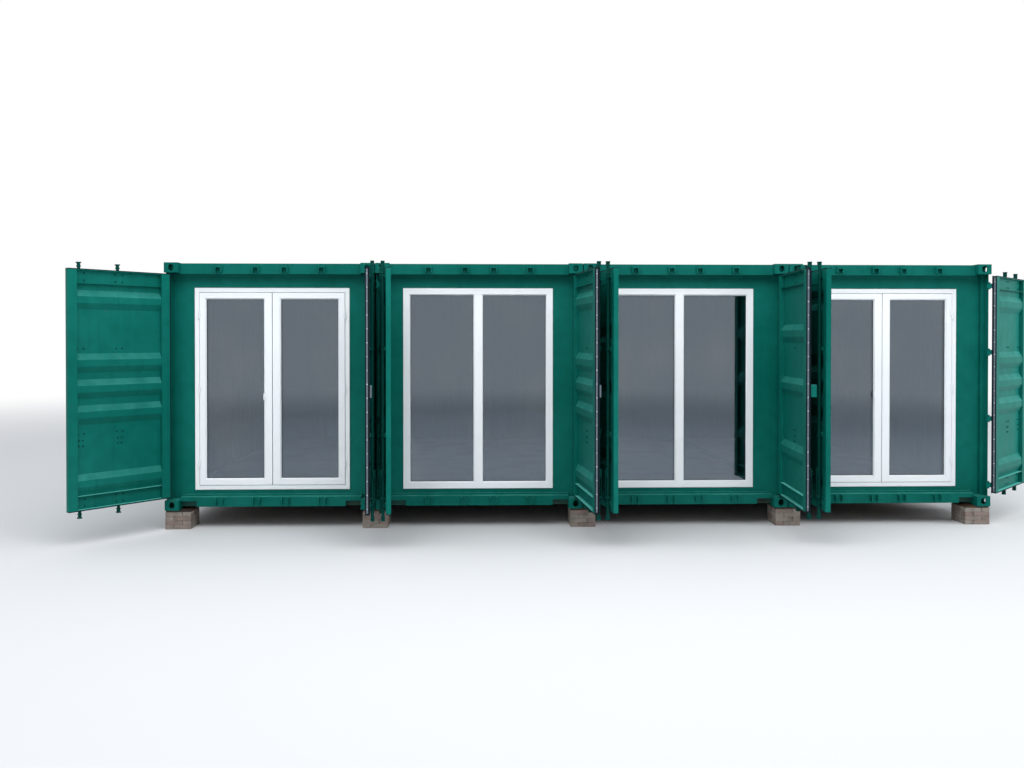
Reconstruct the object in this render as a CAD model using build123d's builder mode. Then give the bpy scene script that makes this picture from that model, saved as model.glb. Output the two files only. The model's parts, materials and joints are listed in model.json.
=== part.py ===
from build123d import *
import math
import os

os.makedirs("parts", exist_ok=True)

# Cabin of four shipping containers side by side, all sizes in millimetres.
# X runs along the glazed front, Y runs back into the cabin and Z is up.
# The origin is on the ground, under the middle of the middle front pier.

# The row of containers
container_count = 4
container_width = 2438
container_length = 6058
container_height = 2896
container_gap = 12

# Masonry piers and their cap plates
pier_width = 300
pier_depth = 330
pier_height = 200
cap_plate_thickness = 20
cap_plate_margin = 8
front_pier_setback = 10

# Corner castings
casting_width = 162
casting_depth = 178
casting_height = 118
casting_wall = 18
casting_pocket_depth = 28
end_pocket_width = 64
end_pocket_height = 79
side_pocket_length = 79
side_pocket_height = 52
top_pocket_width = 64
top_pocket_length = 124
pocket_chamfer = 20
casting_stand_out = 6

# Door end posts, a hot rolled channel with a bent web in front of it
post_web_thickness = 10
post_web_front = 52
post_flange_reach = 60
post_channel_front = 128
post_channel_thickness = 12

# Posts at the closed end
rear_post_thickness = 8

# Door header and door sill
end_frame_setback = 66
end_frame_sheet = 6
header_underside = 2766
header_top_drop = 6
header_lip_drop = 30
sill_underside = 32
sill_front_height = 145
sill_slope_rise = 6
sill_plate_top = 168
sill_foot_depth = 54
sill_recess_width = 186
sill_recess_top = 97

# Side rails and rear rails
top_rail_size = 60
bottom_rail_underside = 16
bottom_rail_height = 162
bottom_rail_flange = 48
bottom_rail_sheet = 5
fork_pocket_width = 360
fork_pocket_height = 115
fork_pocket_spacing = 2050
fork_pocket_bottom = 28
rear_plate_sheet = 6

# Floor
floor_thickness = 28
floor_top = 165
floor_edge_clearance = 2
cross_member_count = 10
cross_member_pitch = 540
cross_member_width = 45
cross_member_sheet = 5

# Corrugated walls and roof
wall_sheet = 2
side_wave_pitch = 278
side_wave_depth = 36
side_flat_width = 72
side_slope_width = 68
rear_wave_pitch = 300
rear_wave_depth = 46
rear_flat_width = 130
rear_slope_width = 20
roof_sheet = 2
roof_wave_pitch = 800
roof_wave_depth = 20
roof_flat_width = 330
roof_slope_width = 70
roof_drop = 8

# Steel infill behind the cargo doors
infill_thickness = 50

# White frames in the infill
frame_stand_out = 10
frame_depth = 70
frame_bottom = 217
frame_top = 2608
door_frame_width = 1820
window_frame_width = 1785
frame_offsets = (-5, -15, -45, -30)
door_frame_face = 50
door_frame_stop = 14
door_frame_stop_depth = 11
window_frame_face = 70
window_mullion_face = 90
glass_thickness = 24
fixed_glass_setback = 22

# Opening glazed leaves of the first and last container
sash_clearance = 5
sash_stand_out = 5
sash_face = 66
meeting_stile_face = 85
meeting_gap = 8
sash_hinge_radius = 8
sash_hinge_height = 46
sash_hinge_gap = 0.5
sash_hinge_clearance = 2
sash_hinge_reach = 12
sash_hinge_ends = 260
grip_middle = 1320
grip_height = 76
grip_base_width = 24
grip_sheet = 4
grip_stand_out = 16
grip_overhang = 14

# Cargo door leaves
pin_inset = 22
pin_depth = 28
leaf_face_depth = 68
leaf_thickness = 50
leaf_edge_inset = 12
leaf_meeting_gap = 30
leaf_bottom = 165
leaf_top = 2750
stile_width = 100
leaf_rail_height = 150
leaf_rail_sheet = 5
leaf_sheet = 4
leaf_sheet_setback = 4
rib_depth = 36
rib_slope_height = 68
rib_face_height = 72
rib_tops = (2532, 1847, 1567, 1287, 547)
rib_tops_plain_leaf = (2170, 1570, 830)

# Hinges of the cargo doors
hinge_heights = (254, 1050, 1845, 2640)
barrel_radius = 15
barrel_height = 56
barrel_gap = 0.5
blade_height = 56
blade_length = 120
blade_thickness = 12
lug_height = 14
lug_width = 32
lug_front = 12

# Lock gear of the cargo doors
rod_distances = (597, 1029)
rod_radius = 17
rod_sides = 8
rod_turn = 22.5
rod_depth = 15
rod_bracket_clearance = 0.3
bracket_heights = (240, 980, 1900, 2675)
bracket_width = 90
bracket_height = 44
cam_width = 44
cam_height = 26
cam_front_reach = 23
cam_back_reach = 18
cam_top_level = 2822
cam_bottom_level = 78
keeper_front = 14
keeper_gap = 56
keeper_sheet = 12
keeper_cap = 20
keeper_clearance = 6
upper_keeper_bottom = 2788
lower_keeper_bottom = 62
lower_keeper_top = 138
lower_keeper_flare = 7
hub_heights = (880, 570)
hub_length = 90
hub_width = 60
hub_stand_out = 6
lever_length = 300
lever_width = 30
lever_thickness = 10
lever_stand_off = 12

# Catch plates and lock box on the free edge of the right leaves
catch_width = 60
catch_bottom = 1388
catch_top = 1512
catch_sheet = 5
catch_plate_reach = 18
lock_box_reach = 62

# Rubber seals round the cargo doors
seal_base = 6
seal_fin = 4
seal_fin_reach = 10

# Angle of each cargo door leaf from closed, in degrees, as the doors stand
leaf_angles = (131, 97.3, 81.1, 95.2, 83.9, 85.5, 93.2, 223.7)

# Derived places
container_pitch = container_width + container_gap
base = pier_height + cap_plate_thickness
front = -pier_depth / 2 - front_pier_setback
back = front + container_length
side_plane = casting_stand_out
half_width = container_width / 2
top_casting_level = container_height - casting_height
header_top = container_height - header_top_drop
rail_top = container_height - casting_stand_out
rail_underside = rail_top - top_rail_size
post_back = casting_depth
infill_front = casting_depth
bottom_rail_top = bottom_rail_underside + bottom_rail_height
infill_back = infill_front + infill_thickness
frame_front = infill_front - frame_stand_out
half_opening = half_width - pin_inset
leaf_free_edge = half_opening - leaf_meeting_gap / 2
leaf_outer = leaf_face_depth - pin_depth
leaf_inner = leaf_outer + leaf_thickness
door_containers = (0, container_count - 1)


def centre(index):
    """Middle of a container along the front."""
    return (index - (container_count - 1) / 2) * container_pitch


containers = [centre(index) for index in range(container_count)]


def block(x_from, x_to, y_from, y_to, z_from, z_to, mode=Mode.ADD):
    """A square-cut solid, or a cut, between two places along each axis."""
    with Locations(((x_from + x_to) / 2, (y_from + y_to) / 2, (z_from + z_to) / 2)):
        Box(x_to - x_from, y_to - y_from, z_to - z_from, mode=mode)


def container_block(middle, u_from, u_to, v_from, v_to, z_from, z_to):
    """A block placed by its distance from a container's left side, front and underside."""
    left = middle - half_width
    block(left + u_from, left + u_to, front + v_from, front + v_to, base + z_from, base + z_to)


def upright(points, z_from, z_to):
    """A prism with a plan given by X and Y, between two heights above the underside."""
    with BuildSketch(Plane.XY.offset(base + z_from)) as plan:
        with BuildLine():
            Polyline(points, close=True)
        make_face()
    extrude(plan.sketch, amount=z_to - z_from)


def length_of_bar(points, x_from, x_to):
    """A prism along X with a section given by depth behind the front and height."""
    section_plane = Plane(origin=(x_from, front, base), x_dir=(0, 1, 0), z_dir=(1, 0, 0))
    with BuildSketch(section_plane) as section:
        with BuildLine():
            Polyline(points, close=True)
        make_face()
    extrude(section.sketch, amount=x_to - x_from)


def wave(start, end, pitch, flat, slope, depth, sheet):
    """Closed outline of a folded sheet that runs along the first axis of the outline."""
    crest = pitch - flat - 2 * slope
    waves = int((end - start - flat) / pitch)
    lead = (end - start - flat - waves * pitch) / 2
    outer = [(start, 0)]
    for index in range(waves):
        foot = start + lead + index * pitch + flat
        outer += [(foot, 0), (foot + slope, depth), (foot + slope + crest, depth)]
        outer.append((foot + 2 * slope + crest, 0))
    outer.append((end, 0))
    inner = [(along, rise + sheet) for along, rise in reversed(outer)]
    return outer + inner


# Brick piers, one at each corner and one astride each joint of the row
pier_places = [containers[0] - half_width + pier_width / 2]
pier_places += [(a + b) / 2 for a, b in zip(containers, containers[1:])]
pier_places.append(containers[-1] + half_width - pier_width / 2)
rear_pier_middle = back - front_pier_setback - pier_depth / 2
pier_centres = [(x, y) for x in pier_places for y in (0, rear_pier_middle)]

with BuildPart() as brick_piers:
    with BuildSketch() as footprint:
        with Locations(pier_centres):
            Rectangle(pier_width, pier_depth)
    extrude(footprint.sketch, amount=pier_height)
brick_piers.part.label = "brick_piers"
export_step(brick_piers.part, "parts/brick_piers.step")

with BuildPart() as cap_plates:
    with BuildSketch(Plane.XY.offset(pier_height)) as plate_plan:
        with Locations(pier_centres):
            Rectangle(pier_width - 2 * cap_plate_margin, pier_depth - 2 * cap_plate_margin)
    extrude(plate_plan.sketch, amount=cap_plate_thickness)
cap_plates.part.label = "pier_cap_plates"
export_step(cap_plates.part, "parts/pier_cap_plates.step")

# Corner castings. Those of the door end are hollow, as cast, with a hole in the end, and
# the free sides of the row have side holes.
casting_offset = half_width - casting_width / 2
casting_sides = [middle + side * casting_offset for middle in containers for side in (-1, 1)]
casting_rows = (front + casting_depth / 2, back - casting_depth / 2)
casting_centres = [(x, y) for x in casting_sides for y in casting_rows]
pocket_levels = (casting_height / 2, top_casting_level + casting_height / 2)

with BuildPart() as corner_castings:
    for level in (0, top_casting_level):
        with BuildSketch(Plane.XY.offset(base + level)) as casting_plan:
            with Locations(casting_centres):
                Rectangle(casting_width, casting_depth)
        extrude(casting_plan.sketch, amount=casting_height)
        with BuildSketch(Plane.XY.offset(base + level + casting_wall)) as casting_hollows:
            with Locations([(x, casting_rows[0]) for x in casting_sides]):
                Rectangle(casting_width - 2 * casting_wall, casting_depth - 2 * casting_wall)
        extrude(casting_hollows.sketch, amount=casting_height - 2 * casting_wall, mode=Mode.SUBTRACT)
    with BuildSketch(Plane.XY.offset(base + container_height)) as lifting_pockets:
        with Locations(casting_centres):
            Rectangle(top_pocket_width, top_pocket_length)
    extrude(lifting_pockets.sketch, amount=-casting_pocket_depth, mode=Mode.SUBTRACT)
    for end, direction in ((front, -1), (back, 1)):
        end_plane = Plane(origin=(0, end, base), x_dir=(1, 0, 0), z_dir=(0, -1, 0))
        with BuildSketch(end_plane) as end_pockets:
            with Locations([(x, z) for x in casting_sides for z in pocket_levels]):
                Rectangle(end_pocket_width, end_pocket_height)
            if end == front:
                chamfer(end_pockets.vertices(), pocket_chamfer)
        extrude(end_pockets.sketch, amount=direction * casting_pocket_depth, mode=Mode.SUBTRACT)
    for free_side, direction in ((containers[0] - half_width, 1), (containers[-1] + half_width, -1)):
        side_face = Plane(origin=(free_side, 0, base), x_dir=(0, 1, 0), z_dir=(1, 0, 0))
        with BuildSketch(side_face) as side_pockets:
            with Locations([(y, z) for y in casting_rows for z in pocket_levels]):
                Rectangle(side_pocket_length, side_pocket_height)
        extrude(side_pockets.sketch, amount=direction * casting_pocket_depth, mode=Mode.SUBTRACT)
corner_castings.part.label = "corner_castings"
export_step(corner_castings.part, "parts/corner_castings.step")

# Corner posts, with the hinge lugs welded to the door end posts
post_web_back = post_web_thickness + side_plane
door_post_section = [
    (side_plane, post_web_front),
    (post_web_back, post_web_front),
    (post_web_back, post_channel_front),
    (post_flange_reach, post_channel_front),
    (post_flange_reach, post_channel_front + post_channel_thickness),
    (side_plane + post_channel_thickness, post_channel_front + post_channel_thickness),
    (side_plane + post_channel_thickness, post_back - post_channel_thickness),
    (post_flange_reach, post_back - post_channel_thickness),
    (post_flange_reach, post_back),
    (side_plane, post_back),
]
rear_post_front = container_length - casting_depth
rear_post_back = container_length - side_plane
rear_post_section = [
    (side_plane, rear_post_front),
    (side_plane, rear_post_back),
    (casting_width, rear_post_back),
    (casting_width, rear_post_back - rear_post_thickness),
    (side_plane + rear_post_thickness, rear_post_back - rear_post_thickness),
    (side_plane + rear_post_thickness, rear_post_front),
]

with BuildPart() as corner_posts:
    for middle in containers:
        for hand in (-1, 1):
            side = middle + hand * half_width
            for section in (door_post_section, rear_post_section):
                plan = [(side - hand * u, front + v) for u, v in section]
                upright(plan, casting_height, top_casting_level)
            lug_from = side - hand * side_plane
            lug_to = lug_from - hand * lug_width
            for level in hinge_heights:
                for lug_level in (
                    level - barrel_height / 2 - barrel_gap - lug_height,
                    level + barrel_height / 2 + barrel_gap,
                ):
                    lug_sides = sorted((lug_from, lug_to))
                    block(
                        *lug_sides,
                        front + lug_front,
                        front + post_web_front,
                        base + lug_level,
                        base + lug_level + lug_height,
                    )
corner_posts.part.label = "corner_posts"
export_step(corner_posts.part, "parts/corner_posts.step")


def keepers(outline):
    """Cam keepers on the face of a header or sill, from the outline that each shows in front."""
    for middle in containers:
        for hand in (-1, 1):
            for distance in rod_distances:
                origin = (middle + hand * (half_opening - distance), front + keeper_front, base)
                with BuildSketch(Plane(origin=origin, x_dir=(1, 0, 0), z_dir=(0, -1, 0))) as keeper:
                    with BuildLine():
                        Polyline(outline, close=True)
                    make_face()
                extrude(keeper.sketch, amount=keeper_front - end_frame_setback)


# Door headers, folded sheet with the upper cam keepers on their face
bar_reach = half_width - casting_width
header_face_back = end_frame_setback + end_frame_sheet
header_section = [
    (end_frame_setback, header_underside),
    (end_frame_setback, header_top),
    (casting_depth, header_top),
    (casting_depth, header_top - end_frame_sheet),
    (header_face_back, header_top - end_frame_sheet),
    (header_face_back, header_underside + end_frame_sheet),
    (infill_front, header_underside + end_frame_sheet),
    (infill_front, header_underside),
    (post_channel_front + end_frame_sheet, header_underside),
    (post_channel_front + end_frame_sheet, header_underside - header_lip_drop),
    (post_channel_front, header_underside - header_lip_drop),
    (post_channel_front, header_underside),
]
keeper_inner = keeper_gap / 2
keeper_outer = keeper_inner + keeper_sheet
cap_underside = cam_top_level + cam_height / 2 + keeper_clearance
upper_keeper = [
    (-keeper_outer, upper_keeper_bottom),
    (-keeper_inner, upper_keeper_bottom),
    (-keeper_inner, cap_underside),
    (keeper_inner, cap_underside),
    (keeper_inner, upper_keeper_bottom),
    (keeper_outer, upper_keeper_bottom),
    (keeper_outer, cap_underside + keeper_cap),
    (-keeper_outer, cap_underside + keeper_cap),
]
with BuildPart() as door_headers:
    for middle in containers:
        length_of_bar(header_section, middle - bar_reach, middle + bar_reach)
    keepers(upper_keeper)
door_headers.part.label = "door_headers"
export_step(door_headers.part, "parts/door_headers.step")

# Door sills, with a sloped top, the lower cam keepers and a recess beside each casting
sill_step = sill_front_height + sill_slope_rise
sill_section = [
    (end_frame_setback, sill_underside),
    (end_frame_setback, sill_front_height),
    (post_channel_front, sill_step),
    (post_channel_front, sill_plate_top),
    (infill_front, sill_plate_top),
    (infill_front, sill_plate_top - end_frame_sheet),
    (post_channel_front + end_frame_sheet, sill_plate_top - end_frame_sheet),
    (post_channel_front + end_frame_sheet, sill_step - end_frame_sheet),
    (header_face_back, sill_front_height - end_frame_sheet),
    (header_face_back, sill_underside + end_frame_sheet),
    (end_frame_setback + sill_foot_depth, sill_underside + end_frame_sheet),
    (end_frame_setback + sill_foot_depth, sill_underside),
]
with BuildPart() as door_sills:
    for middle in containers:
        length_of_bar(sill_section, middle - bar_reach, middle + bar_reach)
        for hand in (-1, 1):
            sill_end = middle + hand * bar_reach
            block(
                *sorted((sill_end, sill_end - hand * sill_recess_width)),
                front + end_frame_setback,
                front + end_frame_setback + sill_foot_depth,
                base + sill_underside,
                base + sill_recess_top,
                mode=Mode.SUBTRACT,
            )
    for side in (-1, 1):
        keepers(
            [
                (side * keeper_inner, lower_keeper_bottom),
                (side * keeper_outer, lower_keeper_bottom),
                (side * (keeper_outer + lower_keeper_flare), lower_keeper_top),
                (side * (keeper_inner + lower_keeper_flare), lower_keeper_top),
            ]
        )
door_sills.part.label = "door_sills"
export_step(door_sills.part, "parts/door_sills.step")

# Top side rails
with BuildPart() as top_side_rails:
    for middle in containers:
        for near in (side_plane, container_width - side_plane - top_rail_size):
            container_block(
                middle,
                near,
                near + top_rail_size,
                casting_depth,
                container_length - casting_depth,
                rail_underside,
                rail_top,
            )
top_side_rails.part.label = "top_side_rails"
export_step(top_side_rails.part, "parts/top_side_rails.step")

# Bottom side rails, channels open to the inside, cut for the forks of a lift truck
rail_section = [
    (0, 0),
    (bottom_rail_flange, 0),
    (bottom_rail_flange, bottom_rail_sheet),
    (bottom_rail_sheet, bottom_rail_sheet),
    (bottom_rail_sheet, bottom_rail_height - bottom_rail_sheet),
    (bottom_rail_flange, bottom_rail_height - bottom_rail_sheet),
    (bottom_rail_flange, bottom_rail_height),
    (0, bottom_rail_height),
]
rail_start = front + casting_depth
rail_length = container_length - 2 * casting_depth
with BuildPart() as bottom_side_rails:
    for middle in containers:
        for hand in (-1, 1):
            outer = middle + hand * (half_width - side_plane)
            rail_plane = Plane(
                origin=(outer, rail_start, base + bottom_rail_underside),
                x_dir=(1, 0, 0),
                z_dir=(0, -1, 0),
            )
            with BuildSketch(rail_plane) as rail_profile:
                with BuildLine():
                    Polyline([(-hand * u, z) for u, z in rail_section], close=True)
                make_face()
            extrude(rail_profile.sketch, amount=-rail_length)
    pocket_origin = (0, (front + back) / 2, base + fork_pocket_bottom)
    pocket_plane = Plane(origin=pocket_origin, x_dir=(0, 1, 0), z_dir=(1, 0, 0))
    with BuildSketch(pocket_plane) as pocket_profile:
        with Locations([(side * fork_pocket_spacing / 2, fork_pocket_height / 2) for side in (-1, 1)]):
            Rectangle(fork_pocket_width, fork_pocket_height)
    extrude(pocket_profile.sketch, amount=container_count * container_pitch, both=True, mode=Mode.SUBTRACT)
bottom_side_rails.part.label = "bottom_side_rails"
export_step(bottom_side_rails.part, "parts/bottom_side_rails.step")

# Rails across the closed end, above and below the back wall
rear_face = container_length - side_plane
rear_top_section = [
    (rear_face, rail_underside),
    (rear_face, rail_top),
    (container_length - casting_depth, rail_top),
    (container_length - casting_depth, rail_top - rear_plate_sheet),
    (rear_face - top_rail_size, rail_top - rear_plate_sheet),
    (rear_face - top_rail_size, rail_underside),
]
rear_bottom_section = [
    (rear_face, bottom_rail_underside),
    (rear_face, bottom_rail_top),
    (rear_face - top_rail_size, bottom_rail_top),
    (rear_face - top_rail_size, bottom_rail_top - rear_plate_sheet),
    (rear_face - rear_plate_sheet, bottom_rail_top - rear_plate_sheet),
    (rear_face - rear_plate_sheet, bottom_rail_underside + rear_plate_sheet),
    (rear_face - top_rail_size, bottom_rail_underside + rear_plate_sheet),
    (rear_face - top_rail_size, bottom_rail_underside),
]
with BuildPart() as rear_rails:
    for middle in containers:
        for section in (rear_top_section, rear_bottom_section):
            length_of_bar(section, middle - bar_reach, middle + bar_reach)
rear_rails.part.label = "rear_rails"
export_step(rear_rails.part, "parts/rear_rails.step")

# Cross members under the floor
member_top = floor_top - floor_thickness
member_section = [
    (0, bottom_rail_underside),
    (cross_member_sheet, bottom_rail_underside),
    (cross_member_sheet, member_top - cross_member_sheet),
    (cross_member_width, member_top - cross_member_sheet),
    (cross_member_width, member_top),
    (0, member_top),
]
member_inset = side_plane + bottom_rail_flange
with BuildPart() as cross_members:
    for middle in containers:
        for index in range(cross_member_count):
            from_middle = (index - (cross_member_count - 1) / 2) * cross_member_pitch
            place = container_length / 2 + from_middle - cross_member_width / 2
            section = [(v + place, z) for v, z in member_section]
            length_of_bar(section, middle - half_width + member_inset, middle + half_width - member_inset)
cross_members.part.label = "cross_members"
export_step(cross_members.part, "parts/cross_members.step")

# Plywood floors
with BuildPart() as plywood_floors:
    for middle in containers:
        container_block(
            middle,
            member_inset + floor_edge_clearance,
            container_width - member_inset - floor_edge_clearance,
            infill_back,
            rear_face - top_rail_size,
            member_top,
            floor_top,
        )
plywood_floors.part.label = "plywood_floors"
export_step(plywood_floors.part, "parts/plywood_floors.step")


def outer_side_wall(hand):
    """The corrugated wall on the free side of the first or last container."""
    plane_x = containers[0 if hand < 0 else -1] + hand * (half_width - side_plane)
    outline = wave(
        post_back,
        rear_post_front,
        side_wave_pitch,
        side_flat_width,
        side_slope_width,
        side_wave_depth,
        wall_sheet,
    )
    with BuildPart() as wall:
        upright([(plane_x - hand * rise, front + v) for v, rise in outline], bottom_rail_top, rail_underside)
    return wall.part


left_side_wall = outer_side_wall(-1)
left_side_wall.label = "left_side_wall"
export_step(left_side_wall, "parts/left_side_wall.step")

right_side_wall = outer_side_wall(1)
right_side_wall.label = "right_side_wall"
export_step(right_side_wall, "parts/right_side_wall.step")

# Back walls
with BuildPart() as back_walls:
    for middle in containers:
        outline = wave(
            casting_width,
            container_width - casting_width,
            rear_wave_pitch,
            rear_flat_width,
            rear_slope_width,
            rear_wave_depth,
            wall_sheet,
        )
        plan = [(middle - half_width + u, front + rear_face - rise) for u, rise in outline]
        upright(plan, bottom_rail_top, rail_underside)
back_walls.part.label = "back_walls"
export_step(back_walls.part, "parts/back_walls.step")

# Roof panels, with shallow waves across each container
with BuildPart() as roof_panels:
    for middle in containers:
        outline = wave(
            casting_depth,
            container_length - casting_depth,
            roof_wave_pitch,
            roof_flat_width,
            roof_slope_width,
            -roof_wave_depth,
            roof_sheet,
        )
        section = [(v, container_height - roof_drop - roof_sheet + rise) for v, rise in outline]
        roof_inset = side_plane + top_rail_size
        length_of_bar(section, middle - half_width + roof_inset, middle + half_width - roof_inset)
roof_panels.part.label = "roof_panels"
export_step(roof_panels.part, "parts/roof_panels.step")

# Steel infill round the glazing of each container
frame_widths = [
    door_frame_width if index in door_containers else window_frame_width for index in range(container_count)
]
frame_middles = [middle + offset for middle, offset in zip(containers, frame_offsets)]

with BuildPart() as infill_sides:
    for middle, frame_middle, width in zip(containers, frame_middles, frame_widths):
        for wall_edge, frame_edge in (
            (middle - half_width + member_inset, frame_middle - width / 2),
            (middle + half_width - member_inset, frame_middle + width / 2),
        ):
            edges = sorted((wall_edge, frame_edge))
            block(
                *edges,
                front + infill_front,
                front + infill_back,
                base + casting_height,
                base + top_casting_level,
            )
infill_sides.part.label = "infill_sides"
export_step(infill_sides.part, "parts/infill_sides.step")

with BuildPart() as infill_rails:
    for frame_middle, width in zip(frame_middles, frame_widths):
        for z_from, z_to in ((casting_height, frame_bottom), (frame_top, top_casting_level)):
            block(
                frame_middle - width / 2,
                frame_middle + width / 2,
                front + infill_front,
                front + infill_back,
                base + z_from,
                base + z_to,
            )
infill_rails.part.label = "infill_heads_and_feet"
export_step(infill_rails.part, "parts/infill_heads_and_feet.step")

# White frames. Those of the end containers are rebated for opening leaves.
frame_middle_height = (frame_bottom + frame_top) / 2
frame_height = frame_top - frame_bottom
stop_front = frame_front + frame_depth - door_frame_stop_depth


def facade_plane(middle, depth):
    """A plane that looks out of the front at a depth, centred on a frame."""
    origin = (middle, front + depth, base + frame_middle_height)
    return Plane(origin=origin, x_dir=(1, 0, 0), z_dir=(0, -1, 0))


with BuildPart() as door_frames:
    for index in door_containers:
        with BuildSketch(facade_plane(frame_middles[index], frame_front)) as door_frame_ring:
            Rectangle(door_frame_width, frame_height)
            Rectangle(
                door_frame_width - 2 * door_frame_face, frame_height - 2 * door_frame_face, mode=Mode.SUBTRACT
            )
        extrude(door_frame_ring.sketch, amount=-frame_depth)
        stop_face = door_frame_face + door_frame_stop
        with BuildSketch(facade_plane(frame_middles[index], stop_front)) as stop_ring:
            Rectangle(door_frame_width, frame_height)
            Rectangle(door_frame_width - 2 * stop_face, frame_height - 2 * stop_face, mode=Mode.SUBTRACT)
        extrude(stop_ring.sketch, amount=-door_frame_stop_depth)
door_frames.part.label = "glazed_door_frames"

window_containers = range(1, container_count - 1)
pane_width = (window_frame_width - 2 * window_frame_face - window_mullion_face) / 2
pane_height = frame_height - 2 * window_frame_face
pane_places = [(side * (pane_width + window_mullion_face) / 2, 0) for side in (-1, 1)]
with BuildPart() as window_frames:
    for index in window_containers:
        with BuildSketch(facade_plane(frame_middles[index], frame_front)) as window_frame_ring:
            Rectangle(window_frame_width, frame_height)
            with Locations(pane_places):
                Rectangle(pane_width, pane_height, mode=Mode.SUBTRACT)
        extrude(window_frame_ring.sketch, amount=-frame_depth)
window_frames.part.label = "window_frames"
export_step(window_frames.part, "parts/window_frames.step")

with BuildPart() as fixed_glass:
    for index in window_containers:
        with BuildSketch(facade_plane(frame_middles[index], frame_front + fixed_glass_setback)) as panes:
            with Locations(pane_places):
                Rectangle(pane_width, pane_height)
        extrude(panes.sketch, amount=-glass_thickness)
fixed_glass.part.label = "fixed_glass"
export_step(fixed_glass.part, "parts/fixed_glass.step")

# Opening glazed leaves, hung in pairs in the rebated frames
sash_front = frame_front - sash_stand_out
sash_back = stop_front - sash_clearance
sash_depth = sash_back - sash_front
sash_opening = door_frame_width - 2 * door_frame_face
sash_width = (sash_opening - 2 * sash_clearance - meeting_gap) / 2
sash_height = frame_height - 2 * door_frame_face - 2 * sash_clearance
sash_glass_width = sash_width - sash_face - meeting_stile_face
sash_glass_height = sash_height - 2 * sash_face
sash_pin_depth = sash_front - sash_hinge_radius - sash_hinge_clearance
sash_hinge_levels = (
    -sash_height / 2 + sash_hinge_ends,
    0,
    sash_height / 2 - sash_hinge_ends,
)


def sash_pin(index, hand):
    """Place of the hinge line of a glazed leaf along the front."""
    return frame_middles[index] + hand * (sash_opening / 2 - sash_clearance)


def sash_hinges(index, hand, lower, towards):
    """Barrels on the hinge line, each with a plate towards its own side."""
    pin = sash_pin(index, hand)
    for level in sash_hinge_levels:
        middle_height = frame_middle_height + level
        start = middle_height - sash_hinge_height - sash_hinge_gap if lower else middle_height
        with BuildSketch(Plane.XY.offset(base + start)) as knuckle:
            with Locations((pin, front + sash_pin_depth)):
                RegularPolygon(sash_hinge_radius, rod_sides, major_radius=False, rotation=rod_turn)
            flat_from, flat_to = sorted((pin, pin + towards * (sash_hinge_radius + sash_hinge_reach)))
            plate_back = frame_front if lower else sash_front
            with Locations(((flat_from + flat_to) / 2, front + (sash_pin_depth + plate_back) / 2)):
                Rectangle(flat_to - flat_from, plate_back - sash_pin_depth)
        extrude(knuckle.sketch, amount=sash_hinge_height)


with door_frames:
    for index in door_containers:
        for hand in (-1, 1):
            sash_hinges(index, hand, lower=True, towards=hand)
export_step(door_frames.part, "parts/glazed_door_frames.step")


def glazed_leaf(index, hand):
    """Sash of one glazed leaf, with its hinge barrels and, on the left leaf, the pull grip."""
    near = sash_pin(index, hand)
    leaf_middle = near - hand * sash_width / 2
    glass_middle = near - hand * (sash_face + sash_glass_width / 2)
    with BuildPart() as sash:
        with BuildSketch(facade_plane(leaf_middle, sash_front)) as sash_ring:
            Rectangle(sash_width, sash_height)
            with Locations((glass_middle - leaf_middle, 0)):
                Rectangle(sash_glass_width, sash_glass_height, mode=Mode.SUBTRACT)
        extrude(sash_ring.sketch, amount=-sash_depth)
        sash_hinges(index, hand, lower=False, towards=-hand)
        if hand < 0:
            grip_edge = near + sash_width - meeting_stile_face
            grip_plan = [
                (0, 0),
                (grip_base_width, 0),
                (grip_base_width, grip_sheet),
                (grip_sheet, grip_sheet),
                (-grip_sheet, grip_stand_out),
                (-grip_overhang, grip_stand_out),
                (-grip_overhang, grip_stand_out - grip_sheet),
                (-2 * grip_sheet, grip_stand_out - grip_sheet),
            ]
            upright(
                [(grip_edge + u, front + sash_front - v) for u, v in grip_plan],
                grip_middle - grip_height / 2,
                grip_middle + grip_height / 2,
            )
    with BuildPart() as glass:
        with BuildSketch(facade_plane(glass_middle, sash_front + fixed_glass_setback)) as pane:
            Rectangle(sash_glass_width, sash_glass_height)
        extrude(pane.sketch, amount=-glass_thickness)
    return sash.part, glass.part


for index, place in zip(door_containers, ("first", "last")):
    for hand, side_name in ((-1, "left"), (1, "right")):
        sash_part, glass_part = glazed_leaf(index, hand)
        sash_part.label = f"{place}_{side_name}_glazed_sash"
        glass_part.label = f"{place}_{side_name}_door_glass"
        export_step(sash_part, f"parts/{sash_part.label}.step")
        export_step(glass_part, f"parts/{glass_part.label}.step")


# Cargo door leaves. Each is drawn from its hinge pin: distance along the leaf,
# depth behind the pin as it is when the leaf is closed, and height.
leaf_start = leaf_edge_inset
stile_inner = leaf_start + stile_width
sheet_front = leaf_outer + leaf_sheet_setback


def leaf_plane(index, hand, angle):
    """Plan plane of a leaf with its origin on the hinge pin and X along the leaf."""
    pin_x = centre(index) + hand * half_opening
    turn = math.radians(angle)
    along = (-hand * math.cos(turn), -math.sin(turn), 0)
    return Plane(origin=(pin_x, front + pin_depth, base), x_dir=along, z_dir=(0, 0, 1))


def leaf_prism(plane, hand, points, z_from, z_to):
    """An upright prism of a leaf, from a plan of distances and depths."""
    with BuildSketch(plane.offset(z_from)) as plan:
        with BuildLine():
            Polyline([(s, -hand * d) for s, d in points], close=True)
        make_face()
    extrude(plan.sketch, amount=z_to - z_from)


def leaf_block(plane, hand, s_from, s_to, d_from, d_to, z_from, z_to):
    """A square-cut piece of a leaf."""
    corners = [(s_from, d_from), (s_to, d_from), (s_to, d_to), (s_from, d_to)]
    leaf_prism(plane, hand, corners, z_from, z_to)


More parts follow.
